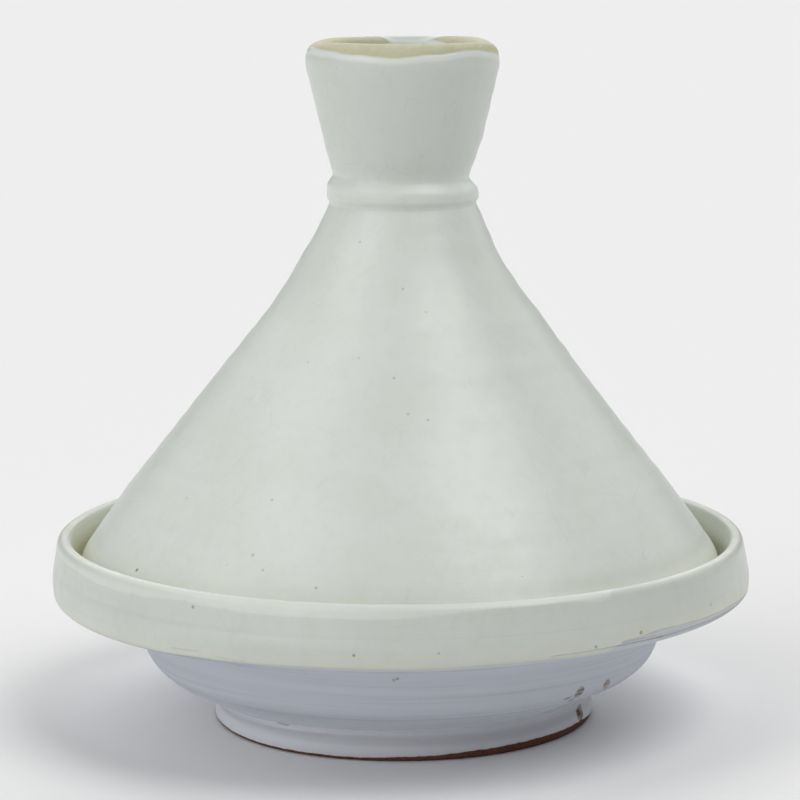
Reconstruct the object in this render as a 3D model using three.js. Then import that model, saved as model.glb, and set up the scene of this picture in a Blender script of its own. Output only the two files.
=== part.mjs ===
// Tagine pot: a shallow earthenware dish with an upright rim, and a tall conical lid
// that stands on a ledge inside that rim. The lid ends in a bead and a hollow cup, which
// is its knob. Each of the two is one fired piece, turned on a wheel about the Z axis.
// Millimetres, +Z up, origin at the middle of the plane that the foot stands on.

import * as THREE from "three";

const FLATS = 48; // flat faces round every turned surface
const CHORD_GAP = 0.12; // how far a rounding's straight steps may cut inside its arc

// Driving dimensions. Radii are from the Z axis, heights from the ground, and each
// rounding is the radius of the arc that replaces a corner of the outline.
const foot = {
  radius: 82.6,
  height: 13, // at the groove where the foot meets the bowl
  grooveDepth: 0.9,
  grooveHalfHeight: 1.3,
  edgeRounding: 2,
  innerRadius: 72.5,
  recess: 10.5, // height of the hollow under the middle
  recessRounding: 4,
};
const belly = {
  radius: 106.5, // where the underside turns upwards
  height: 23,
  rounding: 29,
};
const flange = {
  radius: 119, // where the wall turns outwards under the rim
  height: 50.3,
  rounding: 16,
};
const rim = {
  radius: 150.2, // widest, just below the band's middle
  widest: 62,
  bulge: 20,
  bottomRadius: 149.2,
  bottom: 53.7,
  bottomRounding: 4,
  top: 80.8,
  crestOuterRadius: 147.1,
  crestInnerRadius: 141.7,
  crestRounding: 2.6,
  wallRadius: 141, // inside, next to the lid
};
const ledge = {
  height: 61, // of the shelf that the lid stands on
  innerRadius: 121.5,
  edgeRounding: 2.5,
  wallRounding: 2.5,
};
const hollow = {
  sideRadius: 113, // where the inner wall turns into the bottom
  sideHeight: 36,
  sideRounding: 28,
  floorRadius: 75, // where the rising bottom meets the flat floor
  floor: 21,
  floorRounding: 80,
};
const lid = {
  seatGap: 0.3, // between the lid's edge and the ledge
  radius: 138.2,
  innerRadius: 129.5,
  edgeRounding: 1.8,
  shoulder: 69.8, // height at which the upright edge leans into the cone
  shoulderRounding: 21,
  coneRadius: 117.2, // where the shoulder's slope meets the cone's own
  cone: 99.8,
  coneRounding: 100,
  neckRadius: 42.9, // where the cone would turn up to the neck, if it had a corner
  neck: 194.7,
  neckRounding: 200,
  wallAcross: 5.5, // the inside stands in from the outside by this much in radius
  wallDown: 4.3, // and by this much in height
  innerShoulderRounding: 14,
  apexRadius: 21,
  apex: 222,
  apexRounding: 9,
};
const bead = {
  throatRadius: 31.5, // of the cone where it meets the groove under the bead
  throat: 222.2,
  grooveRadius: 31.1,
  bottom: 223.1,
  radius: 32.2,
  top: 229.8,
  bottomRounding: 0.7,
  topRounding: 3,
};
const knob = {
  neckRadius: 28.9,
  neck: 233.5,
  neckRounding: 2,
  flareRadius: 33, // where the flare turns a little steeper
  flare: 246.8,
  flareRounding: 60,
  radius: 41.5,
  widest: 282.2,
  widestRounding: 14,
  lipOuterRadius: 39.3,
  lipInnerRadius: 31.2,
  lipRounding: 3.6,
  top: 291,
  cupRadius: 22.5,
  cupFloor: 241,
  cupRounding: 8,
};

const creamGlaze = new THREE.MeshStandardMaterial({
  name: "cream_glaze",
  color: 0xe6e8dc,
  roughness: 0.3,
  metalness: 0,
});
const whiteSlip = new THREE.MeshStandardMaterial({
  name: "white_slip",
  color: 0xc3c6cf,
  roughness: 0.75,
  metalness: 0,
});

// Each outline is a list of corners, [radius, height, rounding], that goes up the
// outside, so that the turned faces point out. It starts and ends on the Z axis.

// The dish: from the middle of its underside, out and up over the rim, down to the ledge
// and back to the middle of its floor.
const dishCorners = [
  [0, foot.recess, 0],
  [foot.innerRadius, foot.recess, foot.recessRounding],
  [foot.innerRadius, 0, 0],
  [foot.radius, 0, foot.edgeRounding],
  [foot.radius, foot.height - foot.grooveHalfHeight, 0],
  [foot.radius - foot.grooveDepth, foot.height, 0],
  [foot.radius + foot.grooveDepth, foot.height + foot.grooveHalfHeight, 0],
  [belly.radius, belly.height, belly.rounding],
  [flange.radius, flange.height, flange.rounding],
  [rim.bottomRadius, rim.bottom, rim.bottomRounding],
  [rim.radius, rim.widest, rim.bulge],
  [rim.crestOuterRadius, rim.top, rim.crestRounding],
  [rim.crestInnerRadius, rim.top, rim.crestRounding],
  [rim.wallRadius, ledge.height, ledge.wallRounding],
  [ledge.innerRadius, ledge.height, ledge.edgeRounding],
  [hollow.sideRadius, hollow.sideHeight, hollow.sideRounding],
  [hollow.floorRadius, hollow.floor, hollow.floorRounding],
  [0, hollow.floor, 0],
];

// The lid: from the top of the hollow inside it, down the inside, round the edge, up the
// outside to the bead, over the knob's lip and down to the cup's floor.
const lidEdge = ledge.height + lid.seatGap;
const lidCorners = [
  [0, lid.apex, 0],
  [lid.apexRadius, lid.apex, lid.apexRounding],
  [lid.neckRadius - lid.wallAcross, lid.neck - lid.wallDown, lid.neckRounding],
  [lid.coneRadius - lid.wallAcross, lid.cone - lid.wallDown, lid.coneRounding],
  [lid.innerRadius, lid.shoulder, lid.innerShoulderRounding],
  [lid.innerRadius, lidEdge, lid.edgeRounding],
  [lid.radius, lidEdge, lid.edgeRounding],
  [lid.radius, lid.shoulder, lid.shoulderRounding],
  [lid.coneRadius, lid.cone, lid.coneRounding],
  [lid.neckRadius, lid.neck, lid.neckRounding],
  [bead.throatRadius, bead.throat, 0],
  [bead.grooveRadius, bead.bottom, 0],
  [bead.radius, bead.bottom, bead.bottomRounding],
  [bead.radius, bead.top, bead.topRounding],
  [knob.neckRadius, knob.neck, knob.neckRounding],
  [knob.flareRadius, knob.flare, knob.flareRounding],
  [knob.radius, knob.widest, knob.widestRounding],
  [knob.lipOuterRadius, knob.top, knob.lipRounding],
  [knob.lipInnerRadius, knob.top, knob.lipRounding],
  [knob.cupRadius, knob.cupFloor, knob.cupRounding],
  [0, knob.cupFloor, 0],
];

// Points of the arc that rounds a corner between the points before and after it.
function roundedCorner(before, corner, after, rounding) {
  const back = before.clone().sub(corner).normalize();
  const ahead = after.clone().sub(corner).normalize();
  const halfAngle = Math.acos(back.dot(ahead)) / 2;
  const centre = back.clone().add(ahead).setLength(rounding / Math.sin(halfAngle)).add(corner);
  const start = back.clone().multiplyScalar(rounding / Math.tan(halfAngle)).add(corner);
  const turn = Math.PI - 2 * halfAngle;
  const side = Math.sign(ahead.cross(back));
  const steps = Math.ceil(turn / (2 * Math.acos(1 - CHORD_GAP / rounding)));
  const points = [];
  for (let step = 0; step <= steps; step += 1) {
    points.push(start.clone().rotateAround(centre, (side * turn * step) / steps));
  }
  return points;
}

// All points of an outline, with its corners rounded.
function outlinePoints(corners) {
  const places = corners.map(([radius, height]) => new THREE.Vector2(radius, height));
  return places.flatMap((place, i) => {
    const rounding = corners[i][2];
    return rounding ? roundedCorner(places[i - 1], place, places[i + 1], rounding) : [place];
  });
}

// A closed solid turned about +Z from the corners of its outline.
function turned(name, corners, material) {
  const geometry = new THREE.LatheGeometry(outlinePoints(corners), FLATS);
  geometry.rotateX(Math.PI / 2);
  const mesh = new THREE.Mesh(geometry, material);
  mesh.name = name;
  return mesh;
}

const tagine = new THREE.Group();
tagine.name = "tagine_pot";
tagine.add(turned("dish", dishCorners, whiteSlip));
tagine.add(turned("lid", lidCorners, creamGlaze));

export default tagine;
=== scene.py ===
"""Tagine pot: the glazed, slipped and fired surfaces of its dish and its lid.

Both pieces are turned about the Z axis. Each is one closed mesh, swept round the axis
from an outline of rounded corners that changes a little with the angle, as a thrown pot
does. Outline sizes are in millimetres until the mesh is made. An angle is in degrees
round the Z axis: 0 is +X, on the camera's right, and -90 faces the camera.
"""

import math

import bpy
import numpy as np
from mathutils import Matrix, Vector
from mathutils.bvhtree import BVHTree


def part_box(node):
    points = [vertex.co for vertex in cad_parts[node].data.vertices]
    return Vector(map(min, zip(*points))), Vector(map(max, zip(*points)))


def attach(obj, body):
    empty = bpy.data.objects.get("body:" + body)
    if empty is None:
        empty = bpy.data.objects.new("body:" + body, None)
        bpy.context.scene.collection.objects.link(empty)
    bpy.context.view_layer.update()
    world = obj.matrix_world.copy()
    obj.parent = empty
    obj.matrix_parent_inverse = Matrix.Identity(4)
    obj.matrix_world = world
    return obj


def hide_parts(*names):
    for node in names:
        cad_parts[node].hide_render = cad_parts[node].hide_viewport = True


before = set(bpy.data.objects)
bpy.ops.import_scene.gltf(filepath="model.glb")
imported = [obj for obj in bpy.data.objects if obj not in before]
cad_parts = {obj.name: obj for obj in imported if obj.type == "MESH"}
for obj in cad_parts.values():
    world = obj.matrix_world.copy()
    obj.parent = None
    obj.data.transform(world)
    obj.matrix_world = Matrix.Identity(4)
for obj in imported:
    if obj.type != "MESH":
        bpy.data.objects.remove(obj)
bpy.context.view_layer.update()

MM = 0.001
AROUND = 360  # mesh columns round the axis
FINE_STEP = 1.5  # longest step along the outside of the dish's outline
SHOWN_STEP = 2.3  # along the lid's outside
HIDDEN_STEP = 4.5  # and along the surfaces that the closed pot hides
FINEST_TURN = math.radians(11)  # and the most that one step turns in a rounding

ANGLES = 360 * np.arange(AROUND) / AROUND  # of the columns, in degrees
SIGNED_ANGLES = (ANGLES + 180) % 360 - 180
RADIANS = np.radians(ANGLES)[:, None]

dish_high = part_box("dish")[1] / MM
lid_low, lid_high = (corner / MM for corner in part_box("lid"))


# ---------------------------------------------------------------- outline helpers


def near(angle, centre, width):
    """1 at the centre angle, falling smoothly to 0 about two widths away (degrees)."""
    away = (np.asarray(angle) - centre + 180) % 360 - 180
    return np.exp(-((away / width) ** 2))


def sway(angle, size, peak, times=1):
    """A smooth swing of that size round the axis, highest at the peak angle."""
    return size * np.cos(np.radians(times * (np.asarray(angle) - peak)))


def drift(place, stops):
    """A value that eases from stop to stop, each stop being (height or angle, value)."""
    places, values = zip(*stops)
    index = np.clip(np.searchsorted(places, place) - 1, 0, len(stops) - 2)
    low, high = np.take(places, index), np.take(places, index + 1)
    share = np.clip((place - low) / (high - low), 0, 1)
    share = share * share * (3 - 2 * share)
    return np.take(values, index) * (1 - share) + np.take(values, index + 1) * share


def rise(distance, length):
    """0 up to distance 0, then rising evenly to 1 at that length."""
    return np.clip(distance / length, 0, 1)


def unit(vectors):
    return vectors / np.linalg.norm(vectors, axis=-1, keepdims=True)


def rounded(before, corner, after, rounding, steps):
    """The arc that rounds a corner in every column: (columns, steps + 1, 2)."""
    back = unit(before - corner)
    ahead = unit(after - corner)
    half = np.arccos(np.clip((back * ahead).sum(-1), -1, 1)) / 2
    centre = corner + unit(back + ahead) * (rounding / np.sin(half))[:, None]
    spoke = corner + back * (rounding / np.tan(half))[:, None] - centre
    side = np.sign(ahead[:, 0] * back[:, 1] - ahead[:, 1] * back[:, 0])
    turns = (side * (np.pi - 2 * half))[:, None] * np.linspace(0, 1, steps + 1)
    cos, sin = np.cos(turns), np.sin(turns)
    x = spoke[:, :1] * cos - spoke[:, 1:] * sin
    y = spoke[:, :1] * sin + spoke[:, 1:] * cos
    return centre[:, None] + np.stack([x, y], -1)


def arc_steps(before, corner, after, rounding, step):
    """How many steps the rounding of one corner takes."""
    back, ahead = unit(before - corner), unit(after - corner)
    turn = math.pi - math.acos(float(np.clip(back @ ahead, -1, 1)))
    return max(2, math.ceil(turn * rounding / step), math.ceil(turn / FINEST_TURN))


class Outline:
    """Points of an outline in every column, and the column index of each named corner."""

    def __init__(self, corners, step_after):
        """corners maps a name to (radius, height, rounding), each a number or one per
        column. step_after maps some names to the longest step from there on."""
        names = list(corners)
        table = np.array(
            [[np.broadcast_to(v, AROUND) for v in corners[name]] for name in names],
            float,
        ).transpose(2, 0, 1)
        places, roundings = table[:, :, :2], table[:, :, 2]
        parts, self.at, count, step = [], {}, 0, HIDDEN_STEP
        for i, name in enumerate(names):
            step = step_after.get(name, step)
            if roundings[0, i] > 0:
                trio = places[:, i - 1], places[:, i], places[:, i + 1]
                steps = arc_steps(*(p[0] for p in trio), roundings[0, i], step)
                part = rounded(*trio, roundings[:, i], steps)
            else:
                part = places[:, i : i + 1]
            if parts:
                start, end = parts[-1][:, -1], part[:, 0]
                length = np.linalg.norm(end[0] - start[0])
                share = np.linspace(0, 1, math.ceil(length / step) + 1)[1:-1]
                fill = start[:, None] + (end - start)[:, None] * share[:, None]
                parts.append(fill)
                count += fill.shape[1]
            self.at[name] = count + part.shape[1] // 2
            count += part.shape[1]
            parts.append(part)
        self.points = np.concatenate(parts, 1)
        self.along = self.measure()

    def measure(self):
        """Length of the outline up to each point, in every column."""
        steps = np.linalg.norm(np.diff(self.points, axis=1), axis=-1)
        return np.concatenate([np.zeros((AROUND, 1)), np.cumsum(steps, 1)], 1)

    def past(self, name):
        """How far each point lies past a named corner, along the outline."""
        index = self.at[name]
        return self.along - self.along[:, index : index + 1]

    def normals(self):
        """Outward direction at each point, as (radius, height)."""
        tangent = unit(np.gradient(self.points, axis=1))
        return np.stack([tangent[..., 1], -tangent[..., 0]], -1)


def ripples(along, seed, size, shortest, longest, count=9):
    """Throwing rings: waves along the outline that drift slowly round the axis."""
    rng = np.random.default_rng(seed)
    total = np.zeros_like(along)
    for _ in range(count):
        wave = math.exp(rng.uniform(math.log(shortest), math.log(longest)))
        turns = int(rng.integers(-1, 2))
        swell = 1 + 0.5 * np.sin(RADIANS + rng.uniform(0, 2 * np.pi))
        phase = 2 * np.pi * along / wave + turns * RADIANS + rng.uniform(0, 2 * np.pi)
        total += swell * np.sin(phase)
    return size * total / math.sqrt(count)


def lumps(along, seed, size, length, count=10):
    """Broad dents and swellings left by the hand, some few centimetres across."""
    rng = np.random.default_rng(seed)
    total = np.zeros_like(along)
    for _ in range(count):
        turns = int(rng.integers(1, 6))
        wave = length * rng.uniform(0.7, 1.8)
        phase = 2 * np.pi * along / wave + rng.uniform(0, 2 * np.pi)
        total += np.sin(turns * RADIANS + rng.uniform(0, 2 * np.pi)) * np.sin(phase)
    return size * total / math.sqrt(count)


def turned_piece(name, outline, push, lean, marks):
    """A closed mesh from an outline, pushed out by `push` mm along its normals, with its
    rings out of true along X by as much as the stops of `lean` say.
    marks maps the name of a point attribute to its value in every column."""
    angles = 2 * np.pi * np.arange(AROUND) / AROUND
    places = outline.points + outline.normals() * push[..., None]
    radius, height = places[..., 0], places[..., 1]
    spots = np.stack(
        [
            radius * np.cos(angles)[:, None] + drift(height, lean),
            radius * np.sin(angles)[:, None],
            height,
        ],
        -1,
    )
    rings = spots.shape[1] - 2
    body = spots[:, 1:-1].transpose(1, 0, 2).reshape(-1, 3)
    first, last = spots[:, 0].mean(0), spots[:, -1].mean(0)
    vertices = np.vstack([body, first, last]) * MM
    column = np.arange(AROUND)
    following = (column + 1) % AROUND
    quads = [
        np.stack(
            [
                ring * AROUND + column,
                ring * AROUND + following,
                (ring + 1) * AROUND + following,
                (ring + 1) * AROUND + column,
            ],
            1,
        )
        for ring in range(rings - 1)
    ]
    start, end = rings * AROUND, rings * AROUND + 1
    top = (rings - 1) * AROUND
    fans = [
        np.stack([np.full(AROUND, start), following, column], 1),
        np.stack([top + column, top + following, np.full(AROUND, end)], 1),
    ]
    faces = [face for block in quads + fans for face in block.tolist()]
    mesh = bpy.data.meshes.new(name)
    mesh.from_pydata(vertices.tolist(), [], faces)
    mesh.polygons.foreach_set("use_smooth", [True] * len(mesh.polygons))
    for mark, values in marks.items():
        attribute = mesh.attributes.new(mark, "FLOAT", "POINT")
        inner = values[:, 1:-1].T.reshape(-1)
        ends = [values[:, 0].mean(), values[:, -1].mean()]
        attribute.data.foreach_set("value", np.append(inner, ends).astype(np.float32))
    mesh.update()
    piece = bpy.data.objects.new(name, mesh)
    bpy.context.scene.collection.objects.link(piece)
    return piece


# ---------------------------------------------------------------- materials


def srgb(red, green, blue):
    """A colour as a shader takes it, from its usual 0 to 255 values."""

    def linear(value):
        value /= 255
        return value / 12.92 if value <= 0.04045 else ((value + 0.055) / 1.055) ** 2.4

    return (linear(red), linear(green), linear(blue), 1.0)


class Shader:
    """A material with one Principled BSDF, and short calls that add its nodes."""

    def __init__(self, name):
        self.material = bpy.data.materials.new(name)
        self.material.use_nodes = True
        self.tree = self.material.node_tree
        self.surface = self.tree.nodes["Principled BSDF"]
        self.place = self.tree.nodes.new("ShaderNodeTexCoord").outputs["Object"]

    def plug(self, value, socket):
        if isinstance(value, bpy.types.NodeSocket):
            self.tree.links.new(value, socket)
        else:
            socket.default_value = value

    def attribute(self, name):
        node = self.tree.nodes.new("ShaderNodeAttribute")
        node.attribute_name = name
        return node.outputs["Fac"]

    def maths(self, operation, *values, clamp=False):
        node = self.tree.nodes.new("ShaderNodeMath")
        node.operation = operation
        node.use_clamp = clamp
        for value, socket in zip(values, node.inputs):
            self.plug(value, socket)
        return node.outputs[0]

    def uneven(self, scale, **settings):
        """Cloudy noise from -0.5 to 0.5, to make an edge irregular."""
        return self.add(self.noise(scale, **settings), -0.5)

    def add(self, a, b):
        return self.maths("ADD", a, b)

    def times(self, a, b):
        return self.maths("MULTIPLY", a, b)

    def span(self, value, low, high, start=0.0, end=1.0):
        """value's way from low to high, eased at both ends, as start to end."""
        node = self.tree.nodes.new("ShaderNodeMapRange")
        node.interpolation_type = "SMOOTHSTEP"
        for item, socket in zip((value, low, high, start, end), node.inputs):
            self.plug(item, socket)
        return node.outputs[0]

    def mix(self, share, a, b):
        """Colour a where share is 0, and b where it is 1."""
        node = self.tree.nodes.new("ShaderNodeMix")
        node.data_type = "RGBA"
        self.plug(share, node.inputs["Factor"])
        self.plug(a, node.inputs[6])
        self.plug(b, node.inputs[7])
        return node.outputs[2]

    def blend(self, share, a, b):
        """Number a where share is 0, and b where it is 1."""
        node = self.tree.nodes.new("ShaderNodeMix")
        self.plug(share, node.inputs[0])
        self.plug(a, node.inputs[2])
        self.plug(b, node.inputs[3])
        return node.outputs[0]

    def stretched(self, scale, offset=(0, 0, 0)):
        """The place on the piece, in steps of 1 / scale along each axis."""
        node = self.tree.nodes.new("ShaderNodeMapping")
        self.tree.links.new(self.place, node.inputs["Vector"])
        node.inputs["Scale"].default_value = scale
        node.inputs["Location"].default_value = offset
        return node.outputs["Vector"]

    def noise(self, scale, detail=3, roughness=0.5, offset=(0, 0, 0), colour=False):
        """Cloudy noise from 0 to 1. scale is per metre along X, Y and Z."""
        node = self.tree.nodes.new("ShaderNodeTexNoise")
        self.tree.links.new(self.stretched(scale, offset), node.inputs["Vector"])
        node.inputs["Scale"].default_value = 1
        node.inputs["Detail"].default_value = detail
        node.inputs["Roughness"].default_value = roughness
        return node.outputs["Color" if colour else "Fac"]

    def wandering(self, amount, scale):
        """The place on the piece, moved about by up to `amount` metres."""
        shift = self.noise((scale,) * 3, detail=4, colour=True)
        centred = self.vector("SUBTRACT", shift, (0.5, 0.5, 0.5))
        scaled = self.vector("SCALE", centred, amount)
        return self.vector("ADD", self.place, scaled)

    def vector(self, operation, a, b):
        node = self.tree.nodes.new("ShaderNodeVectorMath")
        node.operation = operation
        self.plug(a, node.inputs[0])
        self.plug(b, node.inputs["Scale" if operation == "SCALE" else 1])
        one_number = operation in ("DISTANCE", "DOT_PRODUCT")
        return node.outputs["Value" if one_number else "Vector"]

    def height(self):
        """Height of the place on the piece, in millimetres."""
        node = self.tree.nodes.new("ShaderNodeSeparateXYZ")
        self.tree.links.new(self.place, node.inputs["Vector"])
        return self.times(node.outputs["Z"], 1 / MM)

    def away_from(self, start, end):
        """Distance in metres from the straight line between two places."""
        line = end - start
        ahead = self.vector("SUBTRACT", self.place, start)
        share = self.vector("DOT_PRODUCT", ahead, line / line.length_squared)
        share = self.maths("ADD", share, 0.0, clamp=True)
        return self.vector("DISTANCE", ahead, self.vector("SCALE", line, share))

    def cells(self, place, size, feature="DISTANCE_TO_EDGE"):
        """Irregular cells about `size` metres wide: the node, whose Distance is how far
        their nearest wall is, or their own middle if the feature is F1."""
        node = self.tree.nodes.new("ShaderNodeTexVoronoi")
        node.feature = feature
        self.tree.links.new(place, node.inputs["Vector"])
        node.inputs["Scale"].default_value = 1 / size
        return node

    def bump(self, height, depth):
        """height from 0 to 1 as a relief `depth` metres deep, on top of earlier ones."""
        node = self.tree.nodes.new("ShaderNodeBump")
        node.inputs["Distance"].default_value = depth
        self.plug(height, node.inputs["Height"])
        if self.surface.inputs["Normal"].is_linked:
            earlier = self.surface.inputs["Normal"].links[0].from_socket
            self.tree.links.new(earlier, node.inputs["Normal"])
        self.tree.links.new(node.outputs["Normal"], self.surface.inputs["Normal"])


GLAZE = srgb(215, 220, 213)
GLAZE_THICK = srgb(219, 224, 218)
# Whiter thick glaze, also mixed in as painted highlight.
THICK_GLAZE_AND_HIGHLIGHT = srgb(232, 236, 231)
GLAZE_THIN = srgb(210, 213, 196)
# Yellowish glaze where it gathers, also mixed in as painted yellow shade in the gap between
# lid and dish.
GLAZE_POOLED_AND_GAP_SHADE = srgb(220, 217, 182)
# Painted shade for the left and right sides of the rim's crest.
CREST_SIDE_SHADE_COLOUR = srgb(172, 176, 160)
GLAZE_LINE = srgb(170, 176, 164)
# Black, mixed in as painted shade.
GLAZE_SHADE = srgb(0, 0, 0)
PINHOLE = srgb(112, 100, 84)
STRAW = srgb(206, 205, 180)
STRAW_DARK = srgb(190, 186, 152)
SLIP = srgb(198, 202, 211)
SLIP_THIN = srgb(187, 189, 197)
SLIP_THICK = srgb(204, 209, 219)
SLIP_LINE = srgb(160, 162, 170)
# Painted light for the slip low on the bowl.
SLIP_PAINTED_LIGHT = srgb(232, 236, 243)
SLIP_GLAZED = srgb(197, 201, 200)
# Painted light for the foot's roll and flare, and painted shade for its waist.
FOOT_PAINTED_LIGHT = srgb(221, 223, 228)
FOOT_PAINTED_SHADE = srgb(204, 206, 211)
SLIP_STAINED = srgb(122, 116, 112)
CLAY = srgb(116, 70, 52)
CLAY_DARK = srgb(84, 54, 44)
CLAY_CHIPPED = srgb(138, 122, 114)

PINHOLE_EDGE = 0.5  # where a pinhole's rim starts to fade, as a share of its radius
GLAZE_ROUGHNESS = 0.32  # where it is glossiest
LID_ROUGHNESS = 0.42  # where it is dullest
DISH_ROUGHNESS = 0.44
SLIP_ROUGHNESS = 0.74, 0.62  # between and on the brush strokes
STRAW_ROUGHNESS = 0.8
CLAY_ROUGHNESS = 0.9

# Reliefs in metres.
GLAZE_RELIEF = 0.06 * MM
CONE_RINGS = 0.04 * MM
LIP_RELIEF = 0.2 * MM
STROKE_RELIEF = 0.18 * MM
TURNING_RELIEF = 0.06 * MM
GLAZE_THICKNESS = 0.3 * MM
GRIT_RELIEF = 0.15 * MM

# Heights in millimetres, most of them as the two ends of a gradual change.
FOOT_WAIST = 8.2
FOOT_TOP = 12.4, 13.6
LOW_SLIP = 14.0, 26.0
UNDER_RIM = 53.5, 56.5
LID_EDGE = 64.0, 84.0
BEAD_MIDDLE = 228.5
KNOB_NECK = 231.0, 238.0
CUP_RIM = 287.0, 290.2


def glaze_colour(shader, pinholes, scratches):
    """Ivory glaze: clouds of thicker and thinner glaze, crazing, specks and pinholes."""
    clouds = shader.noise((22, 22, 30), detail=4, roughness=0.55)
    drips = shader.noise((60, 60, 7), detail=3, offset=(3, 1, 4))
    colour = shader.mix(shader.span(clouds, 0.35, 0.68), GLAZE_THICK, GLAZE)
    thin = shader.times(shader.span(drips, 0.5, 0.75), 0.15)
    colour = shader.mix(thin, colour, GLAZE_THIN)
    mottle = shader.noise((240, 240, 170), detail=3, offset=(8, 2, 6))
    colour = shader.mix(shader.span(mottle, 0.42, 0.75, 0.0, 0.06), colour, GLAZE_LINE)
    colour = shader.mix(crazing(shader), colour, GLAZE_LINE)
    return shader.mix(pits(shader, pinholes, scratches), colour, PINHOLE)


def crazing(shader):
    """Hairline cracks in the glaze: a few longer ones, and small cells in patches."""
    place = shader.wandering(0.009, 42)
    wide = shader.cells(place, 0.026).outputs["Distance"]
    fine = shader.cells(place, 0.0075).outputs["Distance"]
    patches = shader.noise((19, 19, 19), detail=2, offset=(7, 2, 5))
    broken = shader.noise((70, 70, 70), detail=2, offset=(2, 8, 3))
    wide_lines = shader.span(wide, 0.0, 0.013, 0.12, 0.0)
    wide_lines = shader.times(wide_lines, shader.span(broken, 0.5, 0.62))
    fine_lines = shader.span(fine, 0.0, 0.04, 0.08, 0.0)
    fine_lines = shader.times(fine_lines, shader.span(patches, 0.5, 0.62))
    return shader.maths("MAXIMUM", wide_lines, fine_lines)


def pits(shader, pinholes, scratches):
    """How dark each pinhole and scratch is, and a scatter of tiny specks."""
    specks = shader.cells(shader.place, 0.013, feature="F1")
    near_speck = shader.span(specks.outputs["Distance"], 0.012, 0.028, 0.3, 0.0)
    chosen = shader.span(specks.outputs["Color"], 0.66, 0.7)
    total = shader.times(near_speck, chosen)
    for place, radius, depth in pinholes:
        away = shader.vector("DISTANCE", shader.place, place)
        pit = shader.span(away, radius * PINHOLE_EDGE, radius, depth, 0.0)
        total = shader.maths("MAXIMUM", total, pit)
    for start, end, radius, depth in scratches:
        away = shader.away_from(start, end)
        cut = shader.span(away, radius * PINHOLE_EDGE, radius, depth, 0.0)
        total = shader.maths("MAXIMUM", total, cut)
    return total


def glaze_roughness(shader, dullest):
    """Satin, and a little duller in patches."""
    patches = shader.noise((120, 120, 120), detail=3, offset=(4, 4, 1))
    return shader.span(patches, 0.3, 0.7, GLAZE_ROUGHNESS, dullest)


def lid_material(pinholes, scratches):
    """Glaze all over, wiped off the knob's lip and the edge that the lid stands on, with
    painted shade on the knob, painted highlight on the bead and on the roll under the lip,
    and painted yellow shade on the lid's lowest part.
    """
    shader = Shader("cream_glaze")
    colour = glaze_colour(shader, pinholes, ())
    height = shader.height()
    # Painted shade on the knob, darker from its neck up, where its flaring side faces down.
    colour = shader.mix(shader.span(height, *KNOB_NECK, 0.0, 0.08), colour, GLAZE_SHADE)
    # Painted yellow shade on the lid's lowest part, where it stands in the gap between lid
    # and dish.
    colour = shader.mix(shader.span(height, *LID_EDGE, 0.55, 0.0), colour, GLAZE_POOLED_AND_GAP_SHADE)
    # Painted highlight along the bead.
    from_bead = shader.maths("ABSOLUTE", shader.add(height, -BEAD_MIDDLE))
    colour = shader.mix(shader.span(from_bead, 1.0, 3.0, 0.2, 0.0), colour, THICK_GLAZE_AND_HIGHLIGHT)
    band = shader.attribute("bare")
    uneven_edge = shader.uneven((150, 150, 150), offset=(1, 5, 2))
    bare = shader.span(shader.add(band, uneven_edge), -0.25, 0.35)
    grain = shader.noise((330, 330, 620), detail=4)
    blush = shader.noise((55, 55, 90), detail=3, offset=(6, 3, 8))
    straw = shader.mix(shader.span(grain, 0.25, 0.8, 0.0, 0.55), STRAW, STRAW_DARK)
    straw = shader.mix(shader.span(blush, 0.45, 0.7, 0.0, 0.5), straw, STRAW_DARK)
    straw = shader.mix(shader.span(height, *CUP_RIM, 0.4, 0.0), straw, STRAW_DARK)
    stained = shader.span(band, -5.0, -0.5, 0.0, 0.15)
    colour = shader.mix(stained, colour, GLAZE_THIN)
    # A roll of thick glaze under the wiped lip, raised by a bump below and whitened, partly
    # as thicker glaze and partly as painted highlight.
    swollen = shader.times(
        shader.span(band, -3.8, -1.9, 0.0, 1.0), shader.span(band, -1.0, 0.0, 1.0, 0.0)
    )
    colour = shader.mix(shader.times(swollen, 0.65), colour, THICK_GLAZE_AND_HIGHLIGHT)
    colour = shader.mix(bare, colour, straw)
    colour = shader.mix(pits(shader, (), scratches), colour, PINHOLE)
    shader.plug(colour, shader.surface.inputs["Base Color"])
    rough = shader.blend(bare, glaze_roughness(shader, LID_ROUGHNESS), STRAW_ROUGHNESS)
    shader.plug(rough, shader.surface.inputs["Roughness"])
    shader.bump(shader.noise((150, 150, 190), detail=2, offset=(2, 9, 6)), GLAZE_RELIEF)
    shader.bump(shader.noise((14, 14, 420), detail=2), CONE_RINGS)
    shader.bump(shader.maths("SUBTRACT", swollen, bare), LIP_RELIEF)
    return shader.material


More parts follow.
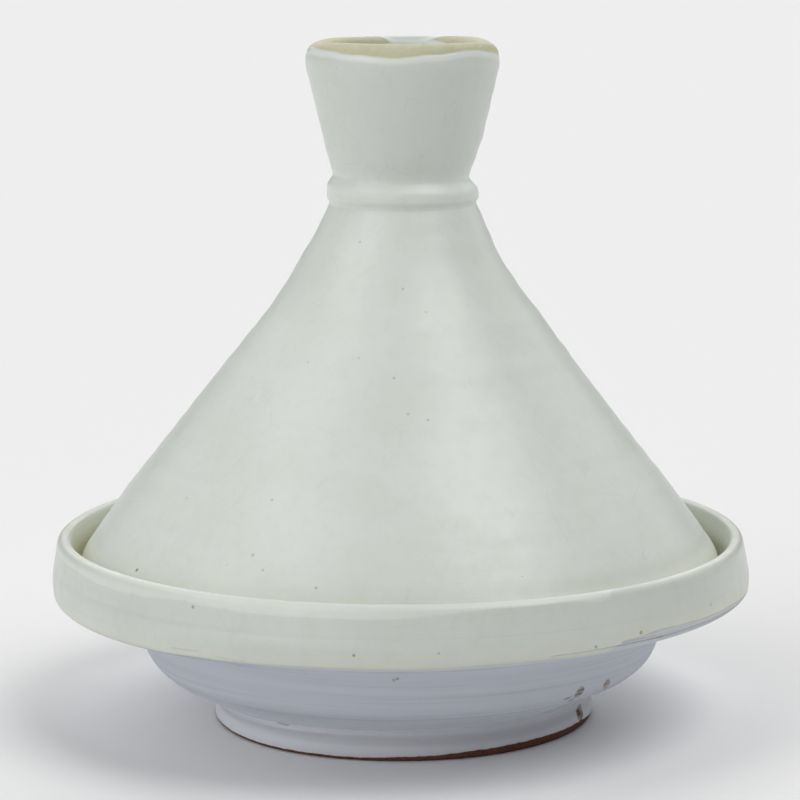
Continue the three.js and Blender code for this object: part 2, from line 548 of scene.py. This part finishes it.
def dish_material(pinholes, scratches, stains, cuts):
    """Glaze over the rim and inside, slip below it, and bare clay where it stands, with
    painted highlight and shade on the rim band, painted shade on the crest's sides, painted
    yellow shade in the gap round the ledge, and painted light on the low slip and on the
    foot.
    """
    shader = Shader("glaze_slip_and_clay")
    glaze = glaze_colour(shader, pinholes, scratches)
    edge = shader.attribute("glazed")
    shiver = shader.uneven((90, 90, 90), detail=4, offset=(5, 5, 5))
    glazed = shader.span(shader.add(edge, shiver), -0.25, 0.3)
    # Above a wandering line on the band the glaze is whiter, partly as thicker glaze and
    # partly as painted highlight on the crest; below it the band's face gets painted shade.
    flow = shader.noise((9, 9, 60), detail=4, offset=(4, 7, 1))
    below = shader.maths("SUBTRACT", edge, shader.span(flow, 0.2, 0.8, 18.0, 25.0))
    glaze = shader.mix(shader.span(below, -0.8, 3.0, 0.0, 0.12), glaze, THICK_GLAZE_AND_HIGHLIGHT)
    glaze = shader.mix(shader.span(below, -1.2, 1.2, 0.1, 0.0), glaze, GLAZE_SHADE)
    line = shader.maths("ABSOLUTE", below)
    glaze = shader.mix(shader.span(line, 0.1, 0.9, 0.1, 0.0), glaze, GLAZE_LINE)
    turning = shader.noise((5, 5, 520), detail=3, offset=(6, 6, 2))
    glaze = shader.mix(shader.span(turning, 0.3, 0.46, 0.1, 0.0), glaze, GLAZE_LINE)
    glaze = shader.mix(shader.span(edge, 2.5, 8.0, 0.3, 0.0), glaze, GLAZE_THIN)
    glaze = shader.mix(shader.span(edge, 0.4, 2.6, 0.2, 0.0), glaze, GLAZE_POOLED_AND_GAP_SHADE)
    # Glaze gathering in the corner at the foot of the rim's inner wall, also painted yellow
    # shade in the gap between lid and dish.
    gap_pool_and_shade = shader.span(shader.attribute("pooled_and_gap_shade"), 0.0, 0.8, 0.0, 0.85)
    glaze = shader.mix(gap_pool_and_shade, glaze, GLAZE_POOLED_AND_GAP_SHADE)
    # Painted shade on the left and right sides of the rim's crest.
    glaze = shader.mix(shader.times(shader.attribute("crest_side_shade"), 0.7), glaze, CREST_SIDE_SHADE_COLOUR)

    strokes = shader.noise((6, 6, 560), detail=3, roughness=0.6)
    bands = shader.noise((4, 4, 170), detail=3, offset=(2, 2, 8))
    slip = shader.mix(shader.span(strokes, 0.3, 0.7), SLIP, SLIP_THICK)
    slip = shader.mix(shader.span(bands, 0.42, 0.72, 0.0, 0.3), slip, SLIP_THIN)
    blots = shader.noise((70, 70, 120), detail=5, roughness=0.65, offset=(9, 1, 1))
    slip = shader.mix(shader.span(blots, 0.62, 0.8, 0.0, 0.5), slip, SLIP_THIN)
    height = shader.height()
    # Painted light on the slip low on the bowl, where its underside faces down.
    slip = shader.mix(shader.span(height, *LOW_SLIP, 1.0, 0.0), slip, SLIP_PAINTED_LIGHT)
    # The foot's slip, with painted light on its roll and flare and painted shade in its
    # waist.
    from_waist = shader.maths("ABSOLUTE", shader.add(height, -FOOT_WAIST))
    foot = shader.mix(shader.span(from_waist, 0.8, 3.2), FOOT_PAINTED_SHADE, FOOT_PAINTED_LIGHT)
    slip = shader.mix(shader.span(height, *FOOT_TOP, 0.9, 0.0), slip, foot)
    slip = shader.mix(shader.span(height, *UNDER_RIM, 0.0, 0.6), slip, SLIP_GLAZED)
    lines = shader.span(strokes, 0.3, 0.46, 0.5, 0.0)
    lines = shader.times(lines, shader.span(height, *FOOT_TOP, 0.25, 1.0))
    slip = shader.mix(lines, slip, SLIP_LINE)
    slip = shader.mix(pits(shader, stains, cuts), slip, SLIP_STAINED)

    grit = shader.noise((900, 900, 900), detail=3)
    clay = shader.mix(shader.span(grit, 0.35, 0.7), CLAY, CLAY_DARK)
    streaks = shader.noise((120, 120, 650), detail=3, offset=(3, 3, 3))
    streaks = shader.span(streaks, 0.42, 0.58, 0.0, 0.75)
    in_chips = shader.mix(streaks, CLAY_CHIPPED, SLIP_THIN)
    nibbled = shader.uneven((260, 260, 260), detail=4, roughness=0.6)
    bare = shader.span(shader.add(shader.attribute("bare"), nibbled), -0.2, 0.25)
    chip = shader.attribute("chipped")
    in_chips = shader.mix(shader.span(chip, 1.4, 2.8, 0.0, 0.85), in_chips, CLAY_DARK)
    chipped = shader.span(shader.add(chip, nibbled), -0.3, 0.35)

    colour = shader.mix(glazed, slip, glaze)
    colour = shader.mix(chipped, colour, in_chips)
    colour = shader.mix(bare, colour, clay)
    shader.plug(colour, shader.surface.inputs["Base Color"])
    rough = shader.span(strokes, 0.3, 0.7, *SLIP_ROUGHNESS)
    rough = shader.blend(glazed, rough, glaze_roughness(shader, DISH_ROUGHNESS))
    rough = shader.blend(shader.maths("MAXIMUM", bare, chipped), rough, CLAY_ROUGHNESS)
    shader.plug(rough, shader.surface.inputs["Roughness"])
    unglazed = shader.maths("SUBTRACT", 1.0, glazed)
    shader.bump(shader.noise((150, 150, 190), detail=2, offset=(2, 9, 6)), GLAZE_RELIEF)
    shader.bump(shader.times(strokes, unglazed), STROKE_RELIEF)
    shader.bump(shader.times(turning, glazed), TURNING_RELIEF)
    shader.bump(glazed, GLAZE_THICKNESS)
    shader.bump(shader.times(grit, bare), GRIT_RELIEF)
    return shader.material


# ---------------------------------------------------------------- the dish


# Millimetres.
LEDGE_BELOW_LID = 0.5  # below the edge of the lid's CAD node
LID_INSIDE_BOX = 0.1  # how far its edge and its lip stay inside the box of its CAD node
CREASE_DEPTH = 0.3  # where the bowl's side meets its underside
CREASE_WIDTH = 0.7
CHIP_DEPTH = 0.45
NO_CHIP = -9.0


def dish_piece():
    """The dish: foot, bowl, flange, rim band, ledge and hollow, as one closed mesh."""
    rim_radius = dish_high.x
    crest_sway = 0.35
    foot = 82.0 + 1.3 * near(ANGLES, -128, 28) - 0.6 * near(ANGLES, -35, 25)
    foot -= 0.6 * near(ANGLES, 180, 25)
    band_low = 55.2 + sway(ANGLES, 2.1, 5) + sway(ANGLES, 0.3, 70, 3)
    crest = dish_high.z - crest_sway + sway(ANGLES, crest_sway, -90)
    crest -= 0.8 * near(ANGLES, 173, 20)
    ledge = lid_low.z - LEDGE_BELOW_LID
    belly = 107.5 + sway(ANGLES, 0.3, 0) - 0.1 * near(ANGLES, -168, 40)
    belly_rounding = 16 + 11 * near(ANGLES, -168, 42)
    flange = 118.6 + sway(ANGLES, 0.6, 90, 2) - 1.0 * near(ANGLES, 180, 40)
    tilt = -0.3 + sway(ANGLES, 1.3, 0) - 0.8 * near(ANGLES, -170, 45)
    joint = 13.2 + sway(ANGLES, 0.8, 0) + 0.9 * near(ANGLES, -20, 22)
    joint -= 0.9 * near(ANGLES, 180, 32) + 1.2 * near(ANGLES, -150, 35)
    foot_rounding = 0.6 * (joint - 6.6)
    corners = {
        "recess_middle": (0, 10.5, 0),
        "recess_edge": (72.5, 10.5, 4),
        "foot_inside": (73, 0.9, 0.9),
        "foot_floor": (76, 0, 6),
        "foot_outside": (foot, 0, 1.9),
        "foot_flare": (foot + 0.3, joint * 0.35, foot_rounding),
        "foot_waist": (foot - 1.5, joint * 0.62, foot_rounding),
        "foot_roll": (foot + 0.8, joint - 1.5, 1.2),
        "groove": (foot - 0.4, joint, 0.4),
        "groove_top": (foot + 1.2, joint + 0.9, 0.6),
        "belly": (belly, 25.2 + tilt, belly_rounding),
        "flange": (flange, 50.9 + sway(ANGLES, 0.7, 5), 15),
        "band_bottom": (149.0, band_low, 4),
        "band_belly": (rim_radius + 0.15, 62 + sway(ANGLES, 0.8, 0), 20),
        "crest_outside": (146.9, crest, 2.9),
        "crest_inside": (141.5, crest, 2.5),
        "wall_foot": (140.9, ledge, 2.5),
        "ledge_edge": (120.8, ledge, 2.5),
        "hollow_side": (107, 36, 28),
        "hollow_floor": (71, 21, 80),
        "floor_middle": (0, 21, 0),
    }
    step_after = {
        "recess_middle": HIDDEN_STEP,
        "foot_floor": FINE_STEP,
        "belly": 0.8,
        "flange": FINE_STEP,
        "ledge_edge": HIDDEN_STEP,
    }
    outline = Outline(corners, step_after)
    outside = rise(outline.past("foot_outside"), 8)
    outside *= rise(-outline.past("crest_outside"), 5)
    on_slip = rise(-outline.past("band_bottom"), 6)
    inside = rise(outline.past("ledge_edge"), 20)
    push = outside * lumps(outline.along, seed=3, size=0.22, length=60)
    push += outside * on_slip * ripples(outline.along, 5, 0.03, 4, 11)
    push += outside * (1 - on_slip) * ripples(outline.along, 8, 0.05, 5, 14)
    push += inside * ripples(outline.along, 6, 0.16, 7, 22)
    lean = ((0, 0.9), (14, 1.2), (26, -0.2), (50, 0), (90, -0.4))

    glaze_edge = drift(SIGNED_ANGLES, GLAZE_EDGE)[:, None]
    glazed = outline.past("band_bottom") - glaze_edge
    bare = drift(SIGNED_ANGLES, BARE_HEIGHT)[:, None] - outline.past("foot_outside")
    crease = outline.past("belly") + 1.9 - 0.5 * near(ANGLES, -60, 30)[:, None]
    push -= CREASE_DEPTH * np.exp(-((crease / CREASE_WIDTH) ** 2))
    chipped = chip_marks(outline)
    push -= CHIP_DEPTH * rise(chipped, 1.2)
    # Glaze gathering in the corner at the foot of the rim's inner wall, which also carries
    # painted yellow shade of the gap; less of it on the right.
    pooled_and_gap_shade = 1 - np.abs(outline.past("wall_foot")) / 20
    pooled_and_gap_shade = pooled_and_gap_shade - 0.35 * near(ANGLES, 0, 35)[:, None]
    # Where painted shade darkens the rim's crest, at its left and right sides.
    sides = near(ANGLES, 180, 38) + near(ANGLES, 0, 34)
    on_crest = (outline.past("crest_outside") + outline.past("crest_inside")) / 2
    crest_side_shade = sides[:, None] * np.exp(-((on_crest / 4) ** 2))
    marks = {
        "glazed": glazed,
        "bare": bare,
        "chipped": chipped,
        "pooled_and_gap_shade": pooled_and_gap_shade,
        "crest_side_shade": crest_side_shade,
    }
    piece = turned_piece("dish_fired", outline, push, lean, marks)
    skin = surface(piece)
    pinholes, scratches = spots_on(skin, DISH_PINHOLES), lines_on(skin, DISH_SCRATCHES)
    stains, cuts = spots_on(skin, SLIP_STAINS), lines_on(skin, SLIP_CUTS)
    piece.data.materials.append(dish_material(pinholes, scratches, stains, cuts))
    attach(piece, "dish")
    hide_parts("dish")


# How far above the turn of the rim the glaze ends, and how far above the turn of the foot
# the bare clay ends, in millimetres, as stops of (angle, distance).
GLAZE_EDGE = (
    (-180, 0),
    (-133, -1),
    (-122, 0.3),
    (-105, 1),
    (-85, 0.3),
    (-73, 0.8),
    (-57, -0.6),
    (-53.5, 4.6),
    (-45, 6),
    (-29, 5.1),
    (0, 3),
    (60, 1.5),
    (180, 0),
)
BARE_HEIGHT = (
    (-180, 0.8),
    (-150, 1.1),
    (-120, 1.1),
    (-105, 1.2),
    (-84, 2),
    (-68, 3),
    (-52, 3.4),
    (-26, 3.3),
    (0, 1),
    (90, 1.5),
    (180, 0.8),
)

# Chips in the slip: angle and height of the middle, half its length and half its width
# in millimetres, and how far it leans from upright in degrees.
CHIPS = (
    (-47.6, 28.9, 3.6, 2.5, -10),
    (-50.4, 27.2, 2.2, 0.8, 70),
    (-22.3, 6.9, 4.5, 3.6, 0),
    (-38.2, 28.8, 4.6, 1.9, -40),
)


def chip_marks(outline):
    """About how deep each point lies inside a chip, in millimetres: negative outside."""
    radius, height = outline.points[..., 0], outline.points[..., 1]
    outside = outline.past("band_bottom") < 0
    deepest = np.full_like(radius, NO_CHIP)
    for angle, middle, half_length, half_width, lean in CHIPS:
        sideways = np.radians((ANGLES - angle + 180) % 360 - 180)[:, None] * radius
        upward = (height - middle) * 1.2
        tilt = math.radians(lean)
        across = sideways * math.cos(tilt) - upward * math.sin(tilt)
        lengthways = sideways * math.sin(tilt) + upward * math.cos(tilt)
        away = np.hypot(across / half_width, lengthways / half_length)
        deep = (1 - away) * half_width
        deepest = np.maximum(deepest, np.where(outside, deep, NO_CHIP))
    return deepest


# ---------------------------------------------------------------- the lid


def lid_piece():
    """The lid: hollow cone, bead and cup-shaped knob, as one closed mesh."""
    edge = lid_low.z + LID_INSIDE_BOX
    lip_top = lid_high.z - LID_INSIDE_BOX - 0.45 * near(ANGLES, 130, 35)
    lip_top -= 1.8 * near(ANGLES, 180, 24) + 2.2 * near(ANGLES, 0, 20)
    bead_top = 229.0 + sway(ANGLES, 0.8, 170)
    wall_across, wall_down = 5.5, 4.3
    corners = {
        "apex_middle": (0, 222, 0),
        "apex": (21, 222, 9),
        "neck_inside": (42.9 - wall_across, 194.7 - wall_down, 200),
        "cone_inside": (117.2 - wall_across, 99.8 - wall_down, 100),
        "shoulder_inside": (129.5, 69.8, 14),
        "edge_inside": (129.5, edge, 1.8),
        "edge_outside": (138.2, edge, 1.8),
        "shoulder": (138.2, 69.8, 21),
        "cone": (116.8, 99.8, 100),
        "cone_waist": (77.2, 150, 250),
        "neck": (43.4, 194.7, 200),
        "throat": (31.3, 221.3, 1.5),
        "bead_groove": (31.1, 222.8, 1.0),
        "bead_bottom": (32.3, 224.4, 2.2),
        "bead_top": (31.9, bead_top, 3.4),
        "knob_neck": (28.5 - sway(ANGLES, 0.5, 0), bead_top + 4.1, 2.6),
        "knob_flare": (33, 246.8, 60),
        "knob_widest": (41.5, 282.2, 14),
        "lip_outside": (39.3, lip_top, 3.6),
        "lip_inside": (31.2, lip_top - 0.4, 3.6),
        "cup_floor_edge": (22.5, 241, 8),
        "cup_middle": (0, 241, 0),
    }
    step_after = {
        "apex_middle": HIDDEN_STEP,
        "edge_inside": SHOWN_STEP,
        "cup_floor_edge": HIDDEN_STEP,
    }
    outline = Outline(corners, step_after)
    outside = rise(outline.past("shoulder"), 12)
    outside *= rise(-outline.past("lip_outside"), 12)
    inside = rise(-outline.past("shoulder_inside"), 15)
    push = outside * lumps(outline.along, seed=11, size=0.25, length=70)
    push += outside * ripples(outline.along, 12, 0.07, 7, 24)
    push += inside * ripples(outline.along, 13, 0.2, 8, 20)

    lean = ((62, -0.5), (150, -0.5), (163, 0.1), (175, 0.9), (186, 0.5), (199, -0.2))
    lean += ((210, 0.5), (222, 0.8), (236, 0.4), (250, 0.7), (291, 0.7))

    lip_drop = drift(SIGNED_ANGLES, LIP_BARE)[:, None]
    wash = 1.2 + sway(ANGLES, 0.3, 30, 4)
    wash += 7 * near(ANGLES, 138, 26) + 5 * near(ANGLES, 32, 16)
    outer = outline.past("lip_outside") + lip_drop
    inner = wash[:, None] - outline.past("lip_inside")
    seat = 2.5 - np.abs(outline.past("edge_inside") - 4.4)
    bare = np.maximum(np.minimum(outer, inner), seat)
    piece = turned_piece("lid_fired", outline, push, lean, {"bare": bare})
    skin = surface(piece)
    crack = lip_crack(skin)
    piece.data.materials.append(lid_material(spots_on(skin, LID_PINHOLES), crack))
    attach(piece, "lid")
    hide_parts("lid")


# How far down the outside of the knob's lip the glaze is wiped off, in millimetres, as
# stops of (angle, distance). At the back the wiped band stays inside the lip.
LIP_BARE = (
    (-180, 1.4),
    (-165, 1.6),
    (-142, 3.1),
    (-121, 4.6),
    (-96, 5.7),
    (-72, 4.5),
    (-45, 3),
    (-23, 4),
    (18, 4),
    (32, -1),
    (48, -4),
    (80, -11),
    (94, -11),
    (112, -5),
    (134, -3),
    (152, -1),
    (165, 1.4),
    (180, 1.4),
)

# Pinholes and stains: angle, height, radius of the spot in millimetres, and how dark it is.
LID_PINHOLES = (
    (-144.9, 79.2, 1.0, 0.9),
    (-105, 83, 0.9, 0.35),
    (-118.8, 92.4, 1.0, 0.3),
    (-115.8, 87.6, 0.8, 0.3),
    (-117.8, 208.8, 0.8, 0.3),
    (-92.3, 157.9, 0.8, 0.35),
    (-88, 144.7, 0.8, 0.3),
    (-82.4, 142.5, 0.8, 0.35),
    (-89, 191.1, 0.7, 0.3),
    (-78.9, 182.2, 0.7, 0.25),
    (-105, 164.9, 0.7, 0.2),
    (-124, 162.2, 0.7, 0.2),
    (-118.8, 112.1, 0.9, 0.35),
    (-142, 107.7, 0.7, 0.2),
)
DISH_PINHOLES = (
    (-123.6, 75, 0.9, 0.55),
    (-97, 61.8, 0.8, 0.7),
    (-84.4, 62.7, 0.7, 0.4),
    (-59.2, 60.1, 0.9, 0.7),
    (-50.5, 62.7, 1.1, 0.9),
    (-32.4, 65.8, 0.8, 0.5),
)
SLIP_STAINS = (
    (-91.4, 43.5, 1.0, 0.5),
    (-90.7, 44.1, 0.9, 0.7),
    (-48.4, 25.1, 2.0, 0.4),
)

# Scratches and cuts: angle and height of one end and of the other, half the width in
# millimetres, and how dark it is.
DISH_SCRATCHES = (
    (-127.5, 57.3, -122.5, 57.9, 0.45, 0.22),
    (-119, 56.6, -114, 56.3, 0.35, 0.18),
)
SLIP_CUTS = (
    (-128.5, 11.8, -124.5, 11.6, 0.5, 0.45),
)
LIP_CRACK = ((-77.4, 34.8), (-75.4, 36.2), 1.6, 0.9)  # two ends as (angle, radius)


def surface(piece):
    """A tree of the piece's faces, in which the surface can be found along a line."""
    mesh = piece.data
    faces = [tuple(face.vertices) for face in mesh.polygons]
    return BVHTree.FromPolygons([vertex.co for vertex in mesh.vertices], faces)


def outward(angle):
    return Vector((math.cos(math.radians(angle)), math.sin(math.radians(angle)), 0))


def on_side(skin, angle, height):
    """The outermost place of the surface at that angle and height."""
    start = outward(angle) + Vector((0, 0, height * MM))
    return skin.ray_cast(start, -outward(angle))[0]


def spots_on(skin, spots):
    """Each spot's place in metres, its radius and how dark it is."""
    return [
        (on_side(skin, angle, height), radius * MM, depth)
        for angle, height, radius, depth in spots
    ]


def lines_on(skin, lines):
    """Both ends of each line in metres, half its width and how dark it is."""
    return [
        (on_side(skin, *line[:2]), on_side(skin, *line[2:4]), line[4] * MM, line[5])
        for line in lines
    ]


def lip_crack(skin):
    """The crack on top of the knob's lip, in the same form as the lines."""
    *ends, half_width, depth = LIP_CRACK
    above, down = Vector((0, 0, 1)), Vector((0, 0, -1))
    places = [
        skin.ray_cast(outward(angle) * radius * MM + above, down)[0]
        for angle, radius in ends
    ]
    return [(*places, half_width * MM, depth)]


# ---------------------------------------------------------------- stage


LENS = 142.4  # millimetres, before a sensor 36 mm wide
SHIFT = -0.00125  # of the picture, which sets the pot a little right of its middle
CAMERA_PLACE = (0, -1.3382, 0.3635)
LOOKING_DOWN = 9.616  # degrees below level


def add_camera():
    """A long lens, a little above the pot, looking down on it."""
    camera = bpy.data.objects.new("camera", bpy.data.cameras.new("camera"))
    camera.data.lens = LENS
    camera.data.sensor_width = 36
    camera.data.shift_x = SHIFT
    camera.location = CAMERA_PLACE
    camera.rotation_euler = (math.radians(90 - LOOKING_DOWN), 0, 0)
    bpy.context.scene.collection.objects.link(camera)
    bpy.context.scene.camera = camera


FLOOR_REACH = 60.0  # metres
FLOOR_WHITE = (0.84, 0.84, 0.84, 1)
ROOM_LIGHT = 0.03


def add_floor():
    mesh = bpy.data.meshes.new("floor")
    sides = ((-1, -1), (1, -1), (1, 1), (-1, 1))
    corners = [(x * FLOOR_REACH, y * FLOOR_REACH, 0) for x, y in sides]
    mesh.from_pydata(corners, [], [(0, 1, 2, 3)])
    floor = bpy.data.objects.new("floor", mesh)
    bpy.context.scene.collection.objects.link(floor)
    paper = Shader("white_paper")
    paper.surface.inputs["Base Color"].default_value = FLOOR_WHITE
    paper.surface.inputs["Roughness"].default_value = 0.95
    paper.surface.inputs["Specular IOR Level"].default_value = 0.1
    floor.data.materials.append(paper.material)


# Broad soft lights, far away: name, direction, how wide each looks in degrees, and its
# strength.
STUDIO = (
    ("left", (-0.57, -0.13, 0.81), 42, 0.45),
    ("right", (0.43, -0.26, 0.87), 36, 1.2),
    ("high_left", (-0.85, -0.35, 0.6), 45, 0.41),
    ("high_right", (0.85, -0.35, 0.6), 45, 0.2),
    ("front_left", (-0.7, -0.7, 0.45), 45, 0.57),
    ("low_front_left", (-0.7, -0.7, 0.12), 45, 0.32),
    ("behind", (0, 1, 0.8), 60, 1.3),
    ("behind_left", (-0.8, 0.6, 0.5), 45, 0.18),
    ("behind_right", (0.8, 0.6, 0.5), 45, 0.42),
)


def add_light(name, towards, width, strength):
    """A far light in that direction from the pot, so wide that its shadows are soft."""
    light = bpy.data.lights.new(name, "SUN")
    light.energy = strength
    light.angle = math.radians(width)
    lamp = bpy.data.objects.new(name, light)
    lamp.rotation_euler = (-Vector(towards)).to_track_quat("-Z", "Y").to_euler()
    bpy.context.scene.collection.objects.link(lamp)


def add_room(strength):
    world = bpy.data.worlds.new("studio")
    world.use_nodes = True
    background = world.node_tree.nodes["Background"]
    background.inputs["Color"].default_value = (1, 1, 1, 1)
    background.inputs["Strength"].default_value = strength
    bpy.context.scene.world = world


bpy.context.scene.view_settings.view_transform = "Standard"
add_camera()
add_floor()
add_room(ROOM_LIGHT)
for light in STUDIO:
    add_light(*light)
dish_piece()
lid_piece()
